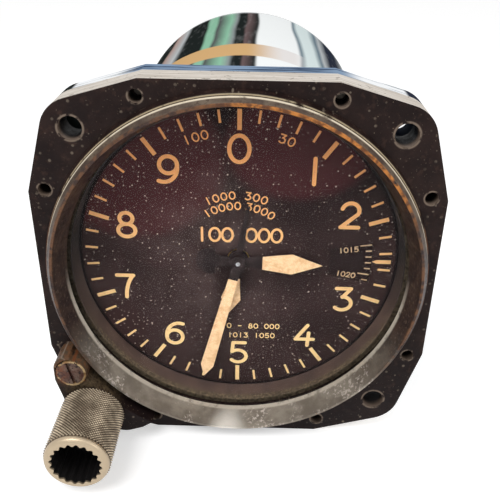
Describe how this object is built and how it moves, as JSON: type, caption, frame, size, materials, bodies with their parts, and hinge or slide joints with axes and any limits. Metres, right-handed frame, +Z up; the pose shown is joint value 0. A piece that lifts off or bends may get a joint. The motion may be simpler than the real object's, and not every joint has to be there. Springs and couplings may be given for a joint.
{
  "type": "altimeter",
  "caption": "Panel-mounted aneroid altimeter with a square flange, a round glazed dial, coaxial pointers, a pressure window, a knurled setting knob and a long round case.",
  "frame": {"origin": "on the instrument axis, in the plane of the square flange's front face", "axes": "+Y along the instrument axis towards the rear of the case, so the dial faces -Y; +Z up through the zero of the dial; +X to the right of someone facing the dial"},
  "size_m": [0.082, 0.1411, 0.082],
  "materials": {
    "flange_paint": "worn brown-black paint over cast aluminium",
    "case_chrome": "mirror plated, dusty",
    "bezel_paint": "grey paint worn to orange-brown",
    "glass": "clear, dusty towards the rim",
    "seal_rubber": "matt",
    "mask_paint": "matt",
    "dial_paint": "matt brown-black with light figures",
    "scale_paint": "matt brown-black with light figures",
    "ring_aluminium": "turned",
    "fastener_steel": "turned",
    "lock_brass": "tarnished and rusty",
    "lock_steel": "rusty",
    "knob_aluminium": "diamond knurled, dirty",
    "gear_brass": "cut brass",
    "arbor_steel": "polished",
    "plate_aluminium": "machined",
    "capsule_bronze": "corrugated sheet",
    "pointer_paint": "cream blades with black hubs"
  },
  "bodies": {
    "root": {"front_flange": "flange_paint", "case_can": "case_chrome", "static_port": "ring_aluminium", "case_screws": "fastener_steel", "clamp_ring": "bezel_paint", "cover_glass": "glass", "glass_seal": "seal_rubber", "mask_ring": "mask_paint", "dial": "dial_paint", "dial_support": "ring_aluminium", "bearing_ring": "ring_aluminium", "knob_bush": "flange_paint", "lock_collar": "lock_brass", "gear_studs": "fastener_steel", "bridge_hub": "plate_aluminium", "bridge_posts": "gear_brass", "bridge_plate": "gear_brass"},
    "knob": {"knob": "knob_aluminium", "setting_shaft": "fastener_steel", "shaft_clip": "fastener_steel"},
    "lock_screw": {"lock_screw": "lock_steel"},
    "ring_idler": {"ring_idler": "gear_brass"},
    "scale_wheel": {"scale_wheel": "gear_brass"},
    "scale_idler": {"scale_idler": "gear_brass"},
    "pressure_scale": {"pressure_scale": "scale_paint"},
    "mechanism": {"turntable": "plate_aluminium", "turntable_pillars": "plate_aluminium", "front_plate": "plate_aluminium", "rear_plate": "plate_aluminium", "plate_pillars": "plate_aluminium", "plate_screws": "fastener_steel", "centre_cock": "plate_aluminium", "capsule_bracket": "plate_aluminium", "aneroid_capsule_1": "capsule_bronze", "aneroid_capsule_2": "capsule_bronze", "aneroid_capsule_3": "capsule_bronze"},
    "rocker": {"rocking_shaft": "arbor_steel", "sector_gear": "gear_brass", "slotted_arm": "arbor_steel"},
    "push_rod": {"push_rod": "arbor_steel"},
    "first_arbor": {"first_arbor": "arbor_steel", "first_wheel": "gear_brass"},
    "second_arbor": {"second_arbor": "arbor_steel", "second_wheel": "gear_brass"},
    "centre_arbor": {"centre_arbor": "arbor_steel", "long_pointer": "pointer_paint"},
    "medium_bush": {"medium_bush": "gear_brass"},
    "medium_pointer": {"medium_wheel": "gear_brass", "medium_pointer": "pointer_paint"},
    "upper_stud": {"upper_stud": "fastener_steel"},
    "upper_reduction": {"upper_reduction": "gear_brass"},
    "lower_stud": {"lower_stud": "fastener_steel"},
    "lower_reduction": {"lower_reduction": "gear_brass"},
    "short_bush": {"short_bush": "gear_brass"},
    "short_pointer": {"short_wheel": "gear_brass", "short_pointer": "pointer_paint"}
  },
  "joints": [
    {"name": "mechanism_turn", "type": "hinge", "parent": "root", "child": "mechanism", "pos_m": [0, 0, 0], "axis": [0, 1, 0], "range_deg": [-663.5, 319.5]},
    {"name": "knob_turn", "type": "hinge", "parent": "root", "child": "knob", "pos_m": [-0.03143, 0, -0.03143], "axis": [0, 1, 0], "range_deg": [-5974.49, 2876.94]},
    {"name": "ring_idler_turn", "type": "hinge", "parent": "root", "child": "ring_idler", "pos_m": [-0.02829, 0, -0.02462], "axis": [0, 1, 0], "range_deg": [-2876.94, 5974.49]},
    {"name": "scale_wheel_turn", "type": "hinge", "parent": "root", "child": "scale_wheel", "pos_m": [-0.02535, 0, -0.03286], "axis": [0, 1, 0], "range_deg": [-1353.85, 2811.52]},
    {"name": "scale_idler_turn", "type": "hinge", "parent": "root", "child": "scale_idler", "pos_m": [-0.01969, 0, -0.03085], "axis": [0, 1, 0], "range_deg": [-1874.35, 902.57]},
    {"name": "pressure_scale_turn", "type": "hinge", "parent": "root", "child": "pressure_scale", "pos_m": [0, 0, 0], "axis": [0, 1, 0], "range_deg": [-98.46, 204.48]},
    {"name": "first_arbor_turn", "type": "hinge", "parent": "mechanism", "child": "first_arbor", "pos_m": [0.00188, 0, 0.01207], "axis": [0, 1, 0], "range_deg": [-535.4, 274.6]},
    {"name": "long_pointer_turn", "type": "hinge", "parent": "mechanism", "child": "centre_arbor", "pos_m": [0, 0, 0], "axis": [0, 1, 0], "range_deg": [-19284.04, 9890.54]},
    {"name": "rocker_turn", "type": "hinge", "parent": "mechanism", "child": "rocker", "pos_m": [-0.024, 0, 0], "axis": [0, 1, 0], "range_deg": [-13.74, 26.78]},
    {"name": "push_rod_slide", "type": "slide", "parent": "mechanism", "child": "push_rod", "axis": [1, 0, 0], "range_m": [-0.00141, 0.00275]},
    {"name": "second_arbor_turn", "type": "hinge", "parent": "mechanism", "child": "second_arbor", "pos_m": [0.00744, 0, -0.00293], "axis": [0, 1, 0], "range_deg": [-2472.64, 4821.01]},
    {"name": "upper_stud_turn", "type": "hinge", "parent": "root", "child": "upper_stud", "pos_m": [0, 0, 0.0078], "axis": [0, 1, 0], "range_deg": [-106.55, 221.28]},
    {"name": "upper_reduction_turn", "type": "hinge", "parent": "upper_stud", "child": "upper_reduction", "pos_m": [0, 0, 0.0078], "axis": [0, 1, 0], "range_deg": [-3296.85, 6428.01]},
    {"name": "medium_bush_turn", "type": "hinge", "parent": "root", "child": "medium_bush", "pos_m": [0, 0, 0], "axis": [0, 1, 0], "range_deg": [-66.38, 31.97]},
    {"name": "medium_pointer_turn", "type": "hinge", "parent": "medium_bush", "child": "medium_pointer", "pos_m": [0, 0, 0], "axis": [0, 1, 0], "range_deg": [-1928.4, 989.06]},
    {"name": "lower_stud_turn", "type": "hinge", "parent": "root", "child": "lower_stud", "pos_m": [0, 0, -0.0078], "axis": [0, 1, 0], "range_deg": [-10.66, 22.13]},
    {"name": "lower_reduction_turn", "type": "hinge", "parent": "lower_stud", "child": "lower_reduction", "pos_m": [0, 0, -0.0078], "axis": [0, 1, 0], "range_deg": [-329.69, 642.8]},
    {"name": "short_bush_turn", "type": "hinge", "parent": "root", "child": "short_bush", "pos_m": [0, 0, 0], "axis": [0, 1, 0], "range_deg": [-6.64, 3.2]},
    {"name": "short_pointer_turn", "type": "hinge", "parent": "short_bush", "child": "short_pointer", "pos_m": [0, 0, 0], "axis": [0, 1, 0], "range_deg": [-192.84, 98.91]},
    {"name": "lock_screw_turn", "type": "hinge", "parent": "root", "child": "lock_screw", "pos_m": [-0.0355, 0, -0.0215], "axis": [0, 1, 0], "range_deg": [-720, 0]}
  ],
  "couplings": [
    {"joint": "knob_turn", "follows": "mechanism_turn", "ratio": 9},
    {"joint": "ring_idler_turn", "follows": "mechanism_turn", "ratio": -9},
    {"joint": "scale_wheel_turn", "follows": "mechanism_turn", "ratio": -4.2353},
    {"joint": "scale_idler_turn", "follows": "mechanism_turn", "ratio": 2.8235},
    {"joint": "pressure_scale_turn", "follows": "mechanism_turn", "ratio": -0.30802},
    {"joint": "long_pointer_turn", "follows": "first_arbor_turn", "ratio": 36},
    {"joint": "rocker_turn", "follows": "first_arbor_turn", "ratio": -0.05},
    {"joint": "push_rod_slide", "follows": "first_arbor_turn", "m_per_rad": -0.00029385},
    {"joint": "second_arbor_turn", "follows": "first_arbor_turn", "ratio": -9},
    {"joint": "upper_stud_turn", "follows": "mechanism_turn", "ratio": -0.33333},
    {"joint": "upper_reduction_turn", "follows": "first_arbor_turn", "ratio": -12},
    {"joint": "medium_bush_turn", "follows": "mechanism_turn", "ratio": 0.1},
    {"joint": "medium_pointer_turn", "follows": "first_arbor_turn", "ratio": 3.6},
    {"joint": "lower_stud_turn", "follows": "mechanism_turn", "ratio": -0.033333},
    {"joint": "lower_reduction_turn", "follows": "first_arbor_turn", "ratio": -1.2},
    {"joint": "short_bush_turn", "follows": "mechanism_turn", "ratio": 0.01},
    {"joint": "short_pointer_turn", "follows": "first_arbor_turn", "ratio": 0.36}
  ]
}
